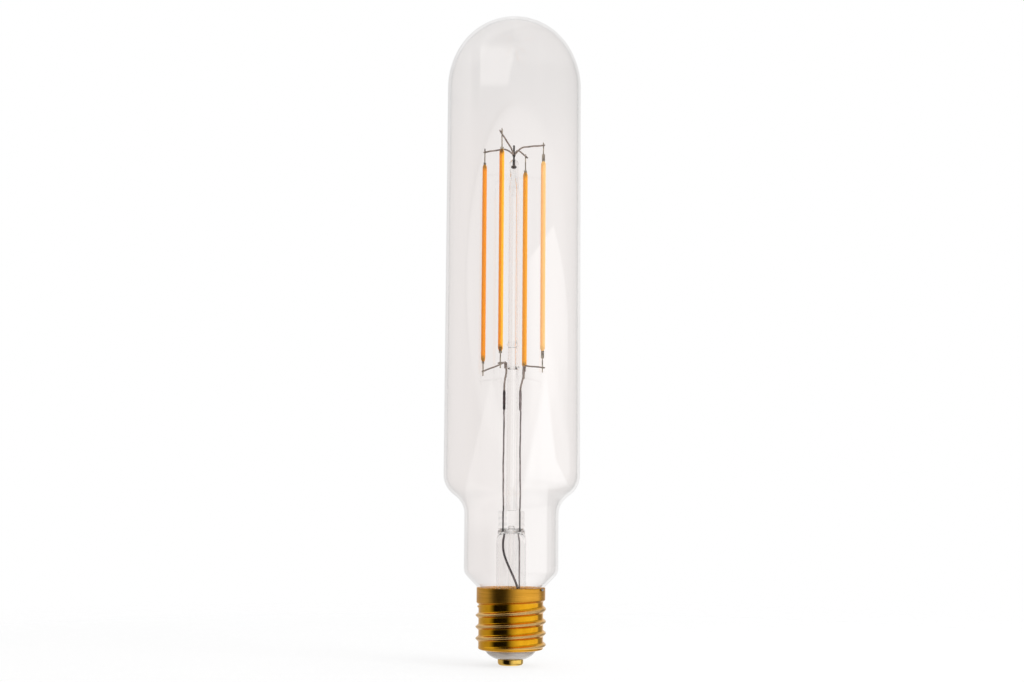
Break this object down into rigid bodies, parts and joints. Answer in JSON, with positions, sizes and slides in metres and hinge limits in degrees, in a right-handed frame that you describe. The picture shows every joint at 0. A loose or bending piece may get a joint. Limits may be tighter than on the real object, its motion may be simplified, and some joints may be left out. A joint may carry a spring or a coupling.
{
  "type": "tubular filament lamp",
  "caption": "Long tubular lamp: domed clear glass tube with a stepped neck, four upright light strips on a glass stem and a large brass screw cap.",
  "frame": {"origin": "middle of the centre contact's lower face", "axes": "+Z along the lamp's axis from the contact to the dome; +X to the right seen from the front; -Y to the front"},
  "size_m": [0.0764, 0.0764, 0.368],
  "materials": {
    "bulb_glass": "clear soda glass, polished",
    "stem_glass": "clear soft glass, fire polished",
    "hub_wire": "nickel wire, dark oxide",
    "arm_wire": "nickel wire, dull grey-brown",
    "phosphor": "matt orange-yellow phosphor in silicone",
    "strip_ceramic": "white ceramic",
    "end_metal": "plated steel, satin",
    "dark_lead": "copper-clad wire, dark oxide",
    "grey_lead": "copper-clad wire, dull",
    "cap_brass": "rolled brass, satin collar and bright thread",
    "contact_brass": "turned brass, bright",
    "insulator": "light grey moulded insulator, satin",
    "cement": "capping cement, matt",
    "solder": "tin solder, dull",
    "board": "laminate, satin",
    "capacitor_sleeve": "shrink sleeve, satin",
    "black_component": "moulded black, matt",
    "fuse_body": "lacquered ceramic",
    "tinned_wire": "tinned copper"
  },
  "bodies": {
    "root": {"envelope": "bulb_glass", "stem_flare": "stem_glass", "exhaust_tube": "stem_glass", "stem_column": "stem_glass", "inner_tube": "stem_glass", "hub_wire": "hub_wire", "upper_arm_1": "arm_wire", "upper_arm_2": "arm_wire", "upper_arm_3": "arm_wire", "upper_arm_4": "arm_wire", "filament_coat_1": "phosphor", "filament_coat_2": "phosphor", "filament_coat_3": "phosphor", "filament_coat_4": "phosphor", "filament_strip_1": "strip_ceramic", "filament_strip_2": "strip_ceramic", "filament_strip_3": "strip_ceramic", "filament_strip_4": "strip_ceramic", "top_end_1": "end_metal", "top_end_2": "end_metal", "top_end_3": "end_metal", "top_end_4": "end_metal", "bottom_end_1": "end_metal", "bottom_end_2": "end_metal", "bottom_end_3": "end_metal", "bottom_end_4": "end_metal", "lower_arm_1": "arm_wire", "lower_arm_2": "arm_wire", "lower_arm_3": "arm_wire", "lower_arm_4": "arm_wire", "support_wire_left": "arm_wire", "support_wire_right": "arm_wire", "splice_left": "dark_lead", "splice_right": "grey_lead", "inner_lead_left": "grey_lead", "inner_lead_right": "grey_lead", "seal_wire_left": "dark_lead", "seal_wire_right": "dark_lead", "outer_lead_left": "dark_lead", "outer_lead_right": "grey_lead", "screw_shell": "cap_brass", "cap_insulator": "insulator", "centre_contact": "contact_brass", "capping_cement": "cement", "side_solder": "solder", "driver_board": "board", "electrolytic_capacitor": "capacitor_sleeve", "inductor": "black_component", "bridge_rectifier": "black_component", "driver_chip": "black_component", "fuse_resistor": "fuse_body", "centre_wire": "tinned_wire", "shell_wire": "tinned_wire"}
  },
  "joints": []
}
